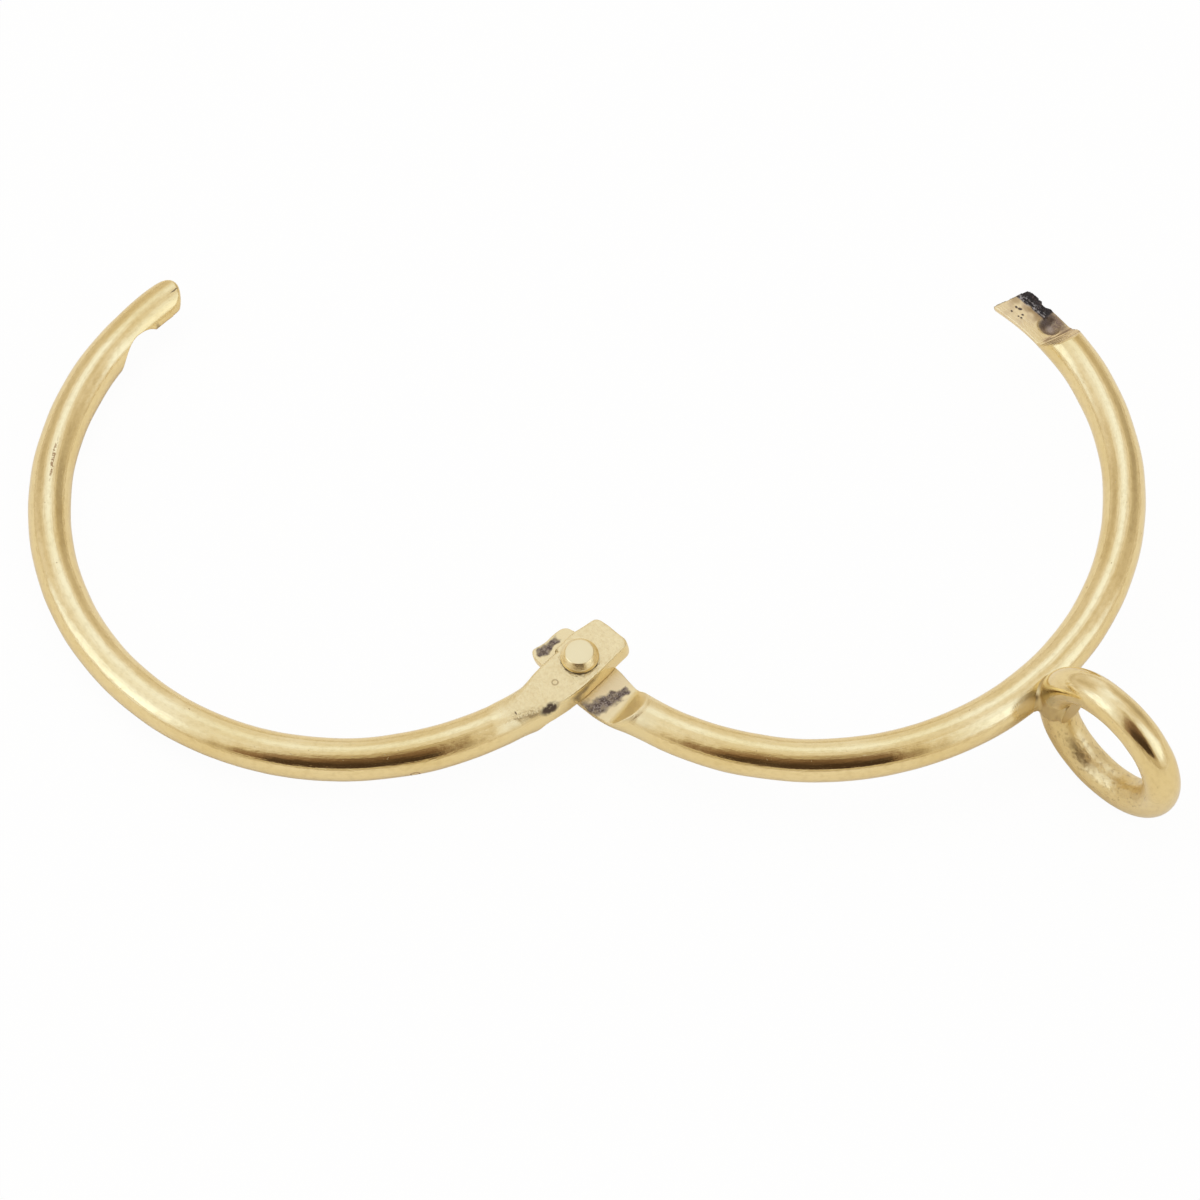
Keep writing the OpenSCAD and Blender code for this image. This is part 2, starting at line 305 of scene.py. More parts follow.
def skin(name, rings, placed, looped=False):
    """A closed mesh over rings of points in millimetres, closed to a point at each end or looped."""
    count, sides, _ = rings.shape
    if looped:
        points = rings.reshape(-1, 3)
        grid = np.arange(count * sides).reshape(count, sides)
        ahead = np.roll(grid, -1, axis=0)
        faces = np.stack([grid, ahead, np.roll(ahead, -1, axis=1), np.roll(grid, -1, axis=1)],
                         -1).reshape(-1, 4).tolist()
    else:
        points = np.concatenate([rings[0, :1], rings[1:-1].reshape(-1, 3), rings[-1, :1]])
        grid = np.arange(1, 1 + (count - 2) * sides).reshape(count - 2, sides)
        side = np.roll(grid, -1, axis=1)
        faces = np.stack([grid[:-1], grid[1:], side[1:], side[:-1]], -1).reshape(-1, 4).tolist()
        faces += [(0, a, b) for a, b in zip(grid[0].tolist(), side[0].tolist())]
        faces += [(len(points) - 1, b, a) for a, b in zip(grid[-1].tolist(), side[-1].tolist())]
    mesh = bpy.data.meshes.new(name)
    spin = np.array(placed.to_3x3())
    mesh.from_pydata((points @ spin.T * MM + np.array(placed.translation)).tolist(), [], faces)
    if placed.determinant() < 0:
        mesh.flip_normals()
    mesh.update()
    piece = bpy.data.objects.new(name, mesh)
    bpy.context.scene.collection.objects.link(piece)
    return piece


def cut_from(piece, cutter, keep_cutter=False):
    """Takes the cutter's solid out of the piece."""
    cut = piece.modifiers.new("cut", "BOOLEAN")
    cut.operation = "DIFFERENCE"
    cut.solver = "MANIFOLD"
    cut.object = cutter
    bpy.context.view_layer.update()
    whole = piece.evaluated_get(bpy.context.evaluated_depsgraph_get())
    mesh = bpy.data.meshes.new_from_object(whole)
    piece.modifiers.clear()
    old = piece.data
    piece.data = mesh
    mesh.materials.clear()
    bpy.data.meshes.remove(old)
    if not keep_cutter:
        bpy.data.objects.remove(cutter)


def local_points(piece, placed):
    flat = np.empty(len(piece.data.vertices) * 3)
    piece.data.vertices.foreach_get("co", flat)
    return (flat.reshape(-1, 3) - np.array(placed.translation)) @ np.array(placed.to_3x3()) / MM


def finish_metal(piece, placed, metal, place):
    """Gives the mesh the metal's own smooth slopes, and each point its place on the piece in millimetres."""
    mesh = piece.data
    points = local_points(piece, placed)
    slopes = slope_of(metal, points) @ np.array(placed.to_3x3()).T
    mesh.shade_smooth()
    corners = np.empty(len(mesh.loops), np.int32)
    mesh.loops.foreach_get("vertex_index", corners)
    own = np.array([list(face.normal) for face in mesh.polygons])
    starts = np.repeat(np.arange(len(mesh.polygons)), [face.loop_total for face in mesh.polygons])
    at_corner = slopes[corners]
    odd = (at_corner * own[starts]).sum(1) < 0.4
    at_corner[odd] = own[starts][odd]
    mesh.normals_split_custom_set(at_corner.tolist())
    layer = mesh.attributes.new("place", "FLOAT_VECTOR", "POINT")
    layer.data.foreach_set("vector", np.stack(place(*points.T), 1).astype(np.float32).ravel())


def lathe(name, profile, placed, sides=96):
    """A solid turned about Z from pairs of radius and height in millimetres, from its foot to its top."""
    angles = np.linspace(0, 2 * math.pi, sides, endpoint=False)
    rings = [[(r * math.cos(a), r * math.sin(a), z) for a in angles] for r, z in profile[::-1]]
    return skin(name, np.array(rings), placed)


def half_frame(turned, mirrored):
    """Frame of a half: the pin at its origin, the ring's centre along +Y, the wire leaving along +X."""
    towards = Matrix.Rotation(turned, 3, PIN_AXIS) @ (EYE_CENTRE - PIN).normalized()
    across = towards.cross(PIN_AXIS) * (-1 if mirrored else 1)
    return Matrix.Translation(PIN) @ Matrix((across, towards, PIN_AXIS)).transposed().to_4x4()


def bore(placed, r):
    return lathe("bore", [(0, -3), (r, -3), (r, 3), (0, 3)], placed, 64)


def on_wire(x, y, z):
    along, out = wire_place(x, y)
    return along, out, z


EYE_FRAME = half_frame(0, False)
eye_half_metal = made_of(plain_wire, (-9, 7.6, leafed_wire), (EYE_LEN - 6.6, EYE_LEN + 9, lower_lap))
lengths = spaced((-2.3, 7.2, 0.08), (7.2, EYE_LEN - 6.4, 0.3), (EYE_LEN - 6.4, EYE_LEN - 0.9, 0.055))
outs = np.interp(EYE_LEN - lengths, [0.9, 2.4, 4.6, 6, EYE_LEN - 7, EYE_LEN - 4],
                 [0, POCKET_OUT, POCKET_OUT, 0, 0, -0.2])
eye_half = skin("eye_half_wire", wire_rings(eye_half_metal, lengths, outs), EYE_FRAME)
cut_from(eye_half, bore(EYE_FRAME, BORE_R))
finish_metal(eye_half, EYE_FRAME, eye_half_metal, on_wire)


def linear(hex_colour):
    """Linear RGBA of an sRGB hex colour."""
    parts = [int(hex_colour[i:i + 2], 16) / 255 for i in (1, 3, 5)]
    return tuple(c / 12.92 if c <= 0.04045 else ((c + 0.055) / 1.055) ** 2.4 for c in parts) + (1,)


def add(tree, kind, settings=(), inputs=(), output=0):
    """Adds a node with its settings, and its inputs as values or links. Gives one of its outputs, if any."""
    made = tree.nodes.new("ShaderNode" + kind)
    for name, value in dict(settings).items():
        setattr(made, name, value)
    for key, value in inputs.items() if isinstance(inputs, dict) else enumerate(inputs):
        if isinstance(value, bpy.types.NodeSocket):
            tree.links.new(value, made.inputs[key])
        else:
            made.inputs[key].default_value = value
    return made.outputs[output] if made.outputs else None


SOFT_EDGE = {"interpolation_type": "SMOOTHSTEP"}


def all_of(tree, *shares):
    """The shares multiplied, so that something shows only where all of them do."""
    total = shares[0]
    for share in shares[1:]:
        total = add(tree, "Math", {"operation": "MULTIPLY"}, [total, share])
    return total


def any_of(tree, *shares):
    """The greatest of the shares at each place."""
    total = shares[0]
    for share in shares[1:]:
        total = add(tree, "Math", {"operation": "MAXIMUM"}, [total, share])
    return total


def new_material(name):
    material = bpy.data.materials.new(name)
    material.use_nodes = True
    material.node_tree.nodes.clear()
    return material, material.node_tree


def noise(tree, place, size, stretch=(1, 1, 1), detail=2.0):
    """Noise with features of the given size in millimetres, drawn out along an axis by a stretch under 1."""
    spread = add(tree, "VectorMath", {"operation": "MULTIPLY"}, [place, stretch])
    return add(tree, "TexNoise", {}, {"Vector": spread, "Scale": 1 / size, "Detail": detail})


def spot(tree, place, centre, size, soft=0.35):
    """1 inside an ellipsoid of the given half-sizes about a place, falling to 0 over its soft edge."""
    away = add(tree, "VectorMath", {"operation": "SUBTRACT"}, [place, centre])
    scaled = add(tree, "VectorMath", {"operation": "DIVIDE"}, [away, size])
    reach = add(tree, "VectorMath", {"operation": "LENGTH"}, [scaled], "Value")
    return add(tree, "MapRange", SOFT_EDGE, [reach, 1 - soft, 1 + soft, 1.0, 0.0])


def band(tree, place, middle, lean, half, grow, start, stop, fade=0.15):
    """1 on a stripe across the wire from start to stop, which leans and grows wider outward."""
    along, out, _ = add(tree, "SeparateXYZ", {}, [place]).node.outputs
    off = add(tree, "Math", {"operation": "SUBTRACT"}, [along, middle])
    off = add(tree, "Math", {"operation": "SUBTRACT"}, [off, all_of(tree, out, lean)])
    off = add(tree, "Math", {"operation": "ABSOLUTE"}, [off])
    width = add(tree, "Math", {"operation": "ADD"}, [all_of(tree, out, grow), half])
    across = add(tree, "Math", {"operation": "DIVIDE"}, [off, width])
    across = add(tree, "MapRange", SOFT_EDGE, [across, 1.4, 0.6])
    begun = add(tree, "MapRange", SOFT_EDGE, [out, start - fade, start + fade])
    not_over = add(tree, "MapRange", SOFT_EDGE, [out, stop + fade, stop - fade])
    return all_of(tree, across, begun, not_over)


def line_at(tree, value, middle, outer, inner, most=1.0):
    """A line where a value is at its middle, from nothing at the outer distance to its most at the inner."""
    off = add(tree, "Math", {"operation": "SUBTRACT"}, [value, middle])
    off = add(tree, "Math", {"operation": "ABSOLUTE"}, [off])
    return add(tree, "MapRange", SOFT_EDGE, [off, outer, inner, 0.0, most])


def ragged(tree, place, size, by):
    """The place shaken by noise, for ragged edges."""
    shake = add(tree, "TexNoise", {}, {"Vector": place, "Scale": 1 / size, "Detail": 3.0}, "Color")
    centred = add(tree, "VectorMath", {"operation": "SUBTRACT"}, [shake, (0.5, 0.5, 0.5)])
    moved = add(tree, "VectorMath", {"operation": "SCALE"}, {0: centred, "Scale": 2 * by})
    return add(tree, "VectorMath", {"operation": "ADD"}, [place, moved])


class Finish:
    """Polished, lacquered brass, and the layers of colour, roughness, metal and relief laid over it."""

    def __init__(self, name, seed):
        self.material, self.tree = new_material(name)
        tree = self.tree
        raw = add(tree, "Attribute", {"attribute_name": "place"}, [], "Vector")
        self.place = raw
        self.shaken = ragged(tree, raw, 0.5, 0.12)
        self.torn = ragged(tree, self.shaken, 0.9, 0.55)
        cloud = noise(tree, raw, 3.0 + 0.1 * seed, (0.4, 1, 1), 3)
        lines = noise(tree, raw, 0.12, (0.02, 1, 1), 2)
        smears = noise(tree, raw, 1.1, (0.25, 1, 1), 4)
        peel = noise(tree, raw, 0.17, (0.35, 1, 1), 3)
        mottle = noise(tree, raw, 0.28, (0.6, 1, 1), 4)
        mottle = add(tree, "MapRange", SOFT_EDGE, [mottle, 0.42, 0.7, 0.0, 0.16])
        cloud = add(tree, "MapRange", SOFT_EDGE, [cloud, 0.35, 0.7])
        specks = noise(tree, raw, 0.16, (0.7, 1, 1), 1)
        specks = all_of(tree, specks, add(tree, "MapRange", SOFT_EDGE, [smears, 0.3, 0.8, 0.85, 1.1]))
        specks = add(tree, "MapRange", SOFT_EDGE, [specks, 0.74, 0.8])
        self.colour = BRASS_PALE
        for share, colour in ((cloud, BRASS_DEEP), (all_of(tree, specks, 0.6), TARNISH_BROWN),
                              (mottle, MOTTLE_BROWN)):
            self.colour = add(tree, "Mix", {"data_type": "RGBA"}, {0: share, 6: self.colour, 7: colour}, 2)
        self.rough = add(tree, "MapRange", SOFT_EDGE, [smears, 0.35, 0.7, 0.065, 0.14])
        drawn = add(tree, "MapRange", SOFT_EDGE, [lines, 0.3, 0.7, 0.0, 0.05])
        for rougher in (drawn, all_of(tree, specks, 0.2)):
            self.rough = add(tree, "Math", {"operation": "ADD"}, [self.rough, rougher])
        self.metal = 1.0
        self.coat = LACQUER
        self.height = 0.0
        for pattern, height in ((lines, 0.008), (smears, 0.007), (peel, 0.009), (specks, -0.006)):
            self.height = add(tree, "Math", {"operation": "ADD"},
                              [self.height, all_of(tree, pattern, height)])

    def layer(self, shares, colour=None, rough=None, metal=None, relief=()):
        """Lays a finish where all the shares are. The factors of the relief make a height in millimetres."""
        tree = self.tree
        share = all_of(tree, *shares)
        if colour is not None:
            self.colour = add(tree, "Mix", {"data_type": "RGBA"}, {0: share, 6: self.colour, 7: colour}, 2)
        if rough is not None:
            self.rough = add(tree, "Mix", {}, {0: share, 2: self.rough, 3: rough})
        if metal is not None:
            self.metal = add(tree, "Mix", {}, {0: share, 2: self.metal, 3: metal})
            self.coat = add(tree, "Mix", {}, {0: share, 2: self.coat, 3: LACQUER * metal})
        if relief:
            self.height = add(tree, "Math", {"operation": "ADD"},
                              [self.height, all_of(tree, share, *relief)])

    def done(self):
        tree = self.tree
        bump = add(tree, "Bump", {}, {"Height": self.height, "Distance": MM, "Strength": 1.0})
        surface = add(tree, "BsdfPrincipled", {}, {
            "Base Color": self.colour, "Metallic": self.metal, "Roughness": self.rough, "Normal": bump,
            "Coat Weight": self.coat, "Coat Roughness": 0.06, "Coat IOR": 1.45})
        add(tree, "OutputMaterial", {}, {"Surface": surface})
        return self.material


LACQUER = 0.35
BRASS_PALE = linear("#F3DFA9")
BRASS_DEEP = linear("#EAD294")
MOTTLE_BROWN = linear("#B8985A")
TARNISH_BROWN = linear("#8A6534")
LEAF_YELLOW = linear("#F0DDA8")
STAIN_DARK = linear("#57463B")
STAIN_GREY = linear("#A0907F")
STAIN_PINK = linear("#D3B48E")
LAP_PINK = linear("#F2DDB0")
CRUST_BLACK = linear("#221A16")
CRUST_GREY = linear("#A39E99")

# Polished and lacquered brass wire: long soft highlights with faint draw lines. The lap face is duller
# and pinkish, the crust black with grey glints, and the rubbed tongue at the hinge brown and granular.
eye_brass = Finish("eye_half_polished_brass", 1)
t, p, q = eye_brass.tree, eye_brass.place, eye_brass.shaken
grain = noise(t, p, 0.09, detail=3)
fleck = add(t, "MapRange", SOFT_EDGE, [grain, 0.5, 0.62])

# Stains on the tongue, under and beside the lug half's leaf
length, out_of_line, high = add(t, "SeparateXYZ", {}, [p]).node.outputs
torn_length, torn_out, _ = add(t, "SeparateXYZ", {}, [q]).node.outputs
up_step = add(t, "Math", {"operation": "SUBTRACT"}, [length, all_of(t, high, 1 / math.tan(FILED_SLOPE))])
on_tongue = all_of(t, add(t, "MapRange", SOFT_EDGE, [up_step, 4.85, 4.65]),
                   add(t, "MapRange", SOFT_EDGE, [high, -0.5, -0.2]))
eye_brass.layer([add(t, "MapRange", SOFT_EDGE, [length, 8.0, 6.2])], LEAF_YELLOW, 0.27)
eye_brass.layer([on_tongue], linear("#F5E2AE"), 0.44, relief=[noise(t, p, 0.16, detail=3), 0.03])
tongue = band(t, eye_brass.torn, 3.36, -0.34, 0.42, 0.13, -1.2, 1.75)
leaf_tip = band(t, eye_brass.torn, -2.72, 0.22, 0.26, 0.05, -0.35, 1.5)
leaf_top = add(t, "MapRange", SOFT_EDGE, [high, -0.4, -0.2])
eye_brass.layer([spot(t, q, (2.7, 0.2, 0.0), (1.2, 2.4, 0.25), 0.5), 0.3], STAIN_PINK, 0.38)
uneven = add(t, "MapRange", SOFT_EDGE, [noise(t, p, 0.35, detail=3), 0.3, 0.6, 0.7, 1.0])
stain = all_of(t, any_of(t, tongue, leaf_tip), leaf_top, uneven)
eye_brass.layer([stain], STAIN_DARK, 0.5, 0.3, relief=[-0.01])
eye_brass.layer([stain, fleck], STAIN_GREY, 0.4, 0.6)

# Lap: dull face, brown patches, pits, file scratches over the shoulder
back = add(t, "Math", {"operation": "SUBTRACT"}, [EYE_LEN, length])
upward = add(t, "MapRange", SOFT_EDGE, [high, -0.75, -0.55])
on_lap = all_of(t, add(t, "MapRange", SOFT_EDGE, [back, 4.8, 1.5, 0.3, 1.0]),
                add(t, "MapRange", SOFT_EDGE, [back, 5.4, 5.0]), upward)
eye_brass.layer([on_lap, 0.7], LAP_PINK, 0.34, relief=[grain, 0.015])
# Each brown patch: back from the end, outward, half length, half width, strength
PATCHES = ((1.9, 0.4, 0.5, 0.3, 0.7), (1.45, 0.1, 0.35, 0.25, 0.5), (2.5, 0.25, 0.3, 0.5, 0.6),
           (0.35, 0.2, 0.35, 0.4, 0.5), (3.4, 1.1, 0.6, 0.25, 0.4))
for near, side, long, wide, share in PATCHES:
    patch = spot(t, q, (EYE_LEN - near, side, -0.3), (long, wide, 0.6), 0.6)
    eye_brass.layer([patch, share], TARNISH_BROWN, 0.4)
smudges = add(t, "MapRange", SOFT_EDGE, [noise(t, p, 0.7, detail=5), 0.45, 0.7, 0, 0.5])
to_outside = add(t, "MapRange", SOFT_EDGE, [out_of_line, -1.2, 0.6, 0.35, 1.0])
eye_brass.layer([on_lap, smudges, to_outside], linear("#A98A74"), 0.42)
# Each pit: back from the end, outward, half size
PITS = ((0.8, -0.32, 0.12), (1.09, -0.28, 0.13), (0.8, -0.83, 0.09), (1.58, -0.5, 0.09), (1.74, -0.81, 0.1),
        (1.47, -0.83, 0.08))
pits = [spot(t, q, (EYE_LEN - near, side, -0.2), (size, 0.8 * size, 0.4), 0.3) for near, side, size in PITS]
eye_brass.layer([any_of(t, *pits)], STAIN_DARK, 0.6, 0.2, relief=[-0.04])
strokes = noise(t, p, 0.11, (1.0, 0.06, 0.06), 1)
shoulder = all_of(t, add(t, "MapRange", SOFT_EDGE, [back, 4.1, 4.3]),
                  add(t, "MapRange", SOFT_EDGE, [back, 6.0, 5.6]))
shoulder = all_of(t, shoulder, add(t, "MapRange", SOFT_EDGE, [out_of_line, -1.15, -0.9]),
                  add(t, "MapRange", SOFT_EDGE, [high, -0.7, -0.4]))
scratch = all_of(t, shoulder, add(t, "MapRange", SOFT_EDGE, [strokes, 0.5, 0.62]))
eye_brass.layer([shoulder, 0.35], STAIN_PINK, 0.35)
eye_brass.layer([scratch, 0.75], linear("#8D6A45"), 0.45, 0.6, relief=[-0.012])

# Wire left dull by the brazing torch, beside the eyelet
scorched = spot(t, q, (33.1, 1.1, 0.4), (1.4, 0.9, 1.2), 0.4)
eye_brass.layer([scorched, 0.8], linear("#DCC58C"), 0.4, relief=[grain, 0.02])

# Pocket: dark brown inside, with a painted shadow on one side and one painted grey glint at its bottom
pocket = spot(t, q, (EYE_LEN - POCKET_BACK, POCKET_OUT, -0.6), (0.8, 0.8, 0.6), 0.25)
smear = spot(t, q, (EYE_LEN - POCKET_BACK + 0.1, POCKET_OUT + 0.5, -0.3), (1.15, 0.55, 0.7), 0.5)
grimy = add(t, "MapRange", SOFT_EDGE, [grain, 0.3, 0.6, 0.6, 0.95])
painted_pocket_shadow = spot(t, q, (EYE_LEN - POCKET_BACK + 0.45, POCKET_OUT + 0.1, -0.5), (0.35, 0.75, 0.6), 0.4)
painted_pocket_glint = spot(t, q, (EYE_LEN - POCKET_BACK - 0.1, POCKET_OUT - 0.1, -0.7), (0.3, 0.3, 0.4), 0.7)
eye_brass.layer([any_of(t, pocket, smear), grimy], linear("#7B6455"), 0.5, 0.25)
eye_brass.layer([painted_pocket_shadow, 0.7], linear("#3A2B22"), 0.5, 0.2)
eye_brass.layer([painted_pocket_glint, 0.6], linear("#B0A092"), 0.35, 0.5)

# Crust along the outer edge, and the dark line of the cut end
torn_back = add(t, "Math", {"operation": "SUBTRACT"}, [EYE_LEN, torn_length])
crust = add(t, "MapRange", SOFT_EDGE, [torn_back, CRUST_LEN + 0.15, CRUST_LEN - 0.05])
crust = all_of(t, crust, add(t, "MapRange", SOFT_EDGE, [torn_out, 0.33, 0.48]),
               add(t, "MapRange", SOFT_EDGE, [high, -1.25, -0.9]))
beyond = add(t, "Math", {"operation": "ADD"}, [torn_length, all_of(t, out_of_line, math.tan(END_SLANT))])
end_line = add(t, "MapRange", SOFT_EDGE, [beyond, EYE_LEN - 0.14, EYE_LEN + 0.04])
end_line = all_of(t, end_line, add(t, "MapRange", SOFT_EDGE, [out_of_line, -1.5, -0.4, 0.5, 0.9]))
eye_brass.layer([any_of(t, crust, end_line)], CRUST_BLACK, 0.45, 0.15, relief=[grain, 0.05])
clods = add(t, "MapRange", SOFT_EDGE, [noise(t, p, 0.2, (0.6, 1, 1), 4), 0.54, 0.64])
eye_brass.layer([crust, clods], linear("#4A3D38"), 0.4, 0.3)
glints = add(t, "MapRange", SOFT_EDGE, [noise(t, p, 0.16, (0.6, 1, 1), 3), 0.53, 0.6])
glints = all_of(t, glints, add(t, "MapRange", SOFT_EDGE, [out_of_line, 1.0, 0.6]))
eye_brass.layer([crust, glints], CRUST_GREY, 0.35, 0.9)
eye_half.data.materials.append(eye_brass.done())
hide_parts("eye_half")
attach(eye_half, "eye_side")

# ---------------------------------------------------------------- Lug half
# The left-hand half, of the same wire. Its near end is the upper hinge leaf, flat on top. Its far end is
# the upper half of the lap: a scooped neck, then a rounded tooth with a small pip under it for the pocket.

OPEN_TURN = math.radians(96.4)
SHUT_SPREAD = math.radians(1.3)
TOOTH_BEVEL = 0.7
BEVEL_LEN = TOOTH_BEVEL / math.tan(FILED_SLOPE)
TOOTH_OVER = BEVEL_LEN - 0.12
LUG_LEN = 2 * math.pi * RING_R - EYE_LEN + LAP_LEN + TOOTH_OVER + 2 * PIN_R * SHUT_SPREAD
NECK_BACK = 4.7
NECK_RISE = 0.85
NECK_R = 2.1
PIP_R = 0.55
PIP_DROP = 0.3
PIP_BACK = TOOTH_OVER + 1.05
TURNING_GAP = 0.04


def upper_leaf(x, y, z):
    return leafed_wire(x, y, -z)


def upper_lap(x, y, z):
    """The end of the lug half: scooped neck, tooth with its bevel and rounded end, and the pip beneath."""
    along, out = wire_place(x, y)
    _, ahead = straight_from(LUG_LEN, x, y)
    face = z - FACE_GAP / 2
    scoop = np.hypot(ahead + NECK_BACK, z - NECK_RISE + NECK_R) - NECK_R
    below = np.maximum(z - NECK_RISE + NECK_R, -ahead - NECK_BACK - NECK_R)
    bevel = face * math.cos(FILED_SLOPE) - (ahead + BEVEL_LEN) * math.sin(FILED_SLOPE)
    under_tooth = np.maximum(np.minimum(face, bevel), -ahead - NECK_BACK)
    waste = np.minimum(np.minimum(scoop, below), under_tooth)
    body = both(plain_wire(x, y, z), -waste, 0.09 + 0.2 * np.clip((ahead + 4.2) / 0.8, 0, 1))
    to_end = along - LUG_LEN + WIRE_R
    tooth_r = WIRE_R + np.where(to_end > 0, 0, 0.3) - 0.03 * knocks(x, y, z)
    body = both(body, np.hypot(out, np.maximum(to_end, 0)) - tooth_r, 0.25)
    out_p, along_p = straight_from(LUG_LEN - PIP_BACK, x, y)
    pip = both(np.hypot(out_p - POCKET_OUT, along_p) - PIP_R, np.maximum(-PIP_DROP - face, face - 0.8), 0.12)
    return either(body, pip, 0.06)


LUG_FRAME = half_frame(OPEN_TURN, True)
lug_half_metal = made_of(plain_wire, (-9, 7.6, upper_leaf), (LUG_LEN - 8.6, LUG_LEN + 9, upper_lap))
lengths = spaced((-2.3, 7.2, 0.08), (7.2, LUG_LEN - 7.6, 0.3), (LUG_LEN - 7.6, LUG_LEN - 1.3, 0.06))
outs = np.interp(LUG_LEN - lengths, [1.3, 2.6, 3.4, LUG_LEN - 7, LUG_LEN - 4], [0.3, 0.3, 0, 0, -0.2])
lug_half = skin("lug_half_wire", wire_rings(lug_half_metal, lengths, outs), LUG_FRAME)
cut_from(lug_half, bore(LUG_FRAME, BORE_R + TURNING_GAP))
finish_metal(lug_half, LUG_FRAME, lug_half_metal, on_wire)

# The same polished wire. The top of the leaf is satin from the press, with a small ring-shaped tool mark,
# and a brown stain sits on its flank where the lacquer has gone.
lug_brass = Finish("lug_half_polished_brass", 2)
t, p, q = lug_brass.tree, lug_brass.place, lug_brass.shaken
grain = noise(t, p, 0.09, detail=3)
along, _, high = add(t, "SeparateXYZ", {}, [p]).node.outputs
satin = all_of(t, add(t, "MapRange", SOFT_EDGE, [along, 7.5, 5.8]),
               add(t, "MapRange", SOFT_EDGE, [high, 1.1, 1.2]))
lug_brass.layer([add(t, "MapRange", SOFT_EDGE, [along, 8.0, 6.2])], LEAF_YELLOW, 0.27)
lug_brass.layer([satin], linear("#F6E4B0"), 0.38, relief=[noise(t, p, 0.16, detail=3), 0.06])
blotches = add(t, "MapRange", SOFT_EDGE, [noise(t, p, 0.3, detail=6), 0.4, 0.7, 0, 0.22])
lug_brass.layer([satin, blotches], linear("#CFAE6C"))
flank = spot(t, q, (3.95, 1.3, 1.0), (0.66, 0.34, 0.36), 0.3)
uneven = add(t, "MapRange", SOFT_EDGE, [noise(t, p, 0.3, detail=3), 0.34, 0.5, 0.35, 1.0])
lug_brass.layer([flank, uneven], linear("#4C3A26"), 0.5, 0.2)
away = add(t, "VectorMath", {"operation": "DISTANCE"}, [p, (2.55, 0.05, 1.25)], "Value")
ring_mark = line_at(t, away, 0.2, 0.07, 0.03)
lug_brass.layer([ring_mark, 0.5], TARNISH_BROWN, 0.4, relief=[-0.01])
away = add(t, "VectorMath", {"operation": "DISTANCE"}, [q, (13.42, 1.42, -0.4)], "Value")
dried_drop = line_at(t, away, 0.3, 0.08, 0.03)
rust_run = spot(t, q, (53.5, -0.17, 1.45), (1.6, 0.1, 0.3), 0.4)
rust_run = all_of(t, rust_run, add(t, "MapRange", SOFT_EDGE, [noise(t, p, 0.14), 0.4, 0.52]))
lug_brass.layer([any_of(t, dried_drop, rust_run), 0.75], linear("#8A5A2E"), 0.36)
tip_crack = spot(t, q, (LUG_LEN - 0.43, -0.43, 1.42), (0.34, 0.05, 0.2), 0.5)
# Painted shade: a dark spot at the heel, in the corner under the tooth
painted_heel_shade = all_of(t, spot(t, q, (LUG_LEN - 3.05, -1.3, 0.25), (0.2, 0.3, 0.3), 0.5), 0.6)
rim_tint_and_highlight = all_of(t, add(t, "MapRange", SOFT_EDGE, [along, LUG_LEN - 3.5, LUG_LEN - 3.0]),
             add(t, "MapRange", SOFT_EDGE, [high, 0.45, 0.1]))
lug_brass.layer([rim_tint_and_highlight, add(t, "MapRange", SOFT_EDGE, [grain, 0.35, 0.6, 0.2, 0.9])], linear("#B98F62"), 0.4)
lug_brass.layer([add(t, "MapRange", SOFT_EDGE, [along, LUG_LEN - 6.5, LUG_LEN - 3.0])], None, 0.24)
tick = spot(t, q, (6.0, 0.44, 1.3), (0.04, 0.12, 0.3), 0.4)
# The crack at the tip and the tick are dark marks; the heel is painted shade
lug_brass.layer([any_of(t, tip_crack, painted_heel_shade, tick), 0.85], linear("#5B4028"), 0.45, 0.4, relief=[-0.02])
lug_half.data.materials.append(lug_brass.done())
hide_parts("lug_half")
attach(lug_half, "lug_side")

# ---------------------------------------------------------------- Hinge rivet
# The headed pin through both leaves, turned from brass, its tail hammered over beneath. It is tight in
# the lower leaf. Polish has worn its flat top dull, and a dark line of painted shade lies in the corner
# under its head.

UNDER_HEAD = LEAF_FACE + FACE_GAP / 2
SHANK_R = 0.74
HEAD_R = 1.32
FOOT_R = 1.2


def rounded(points, radii, steps=6):
    """A profile with its inner corners rounded."""
    smooth = [points[0]]
    for before, here, after, r in zip(points, points[1:], points[2:], radii):
        before, here, after = np.array(before), np.array(here), np.array(after)
        length_in, length_out = np.linalg.norm(before - here), np.linalg.norm(after - here)
        into, out_of = (before - here) / length_in, (after - here) / length_out
        corner = math.acos(np.clip(into @ out_of, -1, 1))
        reach = min(r / math.tan(corner / 2), 0.45 * length_in, 0.45 * length_out)
        start, stop = here + into * reach, here + out_of * reach
        for share in np.linspace(0, 1, steps):
            bend = (1 - share) ** 2 * start + 2 * share * (1 - share) * here + share ** 2 * stop
            smooth.append(tuple(bend))
    return smooth + [points[-1]]


# Corners as radius and height from the pin's middle, and the roundings of all but the first and the last
RIVET_CORNERS = [
    (0, -1.7), (0.6, -1.7), (FOOT_R, -1.475), (FOOT_R, -LEAF_FACE), (SHANK_R, -LEAF_FACE),
    (SHANK_R, UNDER_HEAD), (HEAD_R, UNDER_HEAD), (HEAD_R, 1.55), (0.98, 2.0), (0, 2.03)]
RIVET_ROUNDINGS = [0.3, 0.3, 0.03, 0.02, 0.02, 0.05, 0.3, 0.16]
rivet = lathe("rivet", rounded(RIVET_CORNERS, RIVET_ROUNDINGS), EYE_FRAME)
rivet.data.shade_smooth()
layer = rivet.data.attributes.new("place", "FLOAT_VECTOR", "POINT")
layer.data.foreach_set("vector", local_points(rivet, EYE_FRAME).astype(np.float32).ravel())
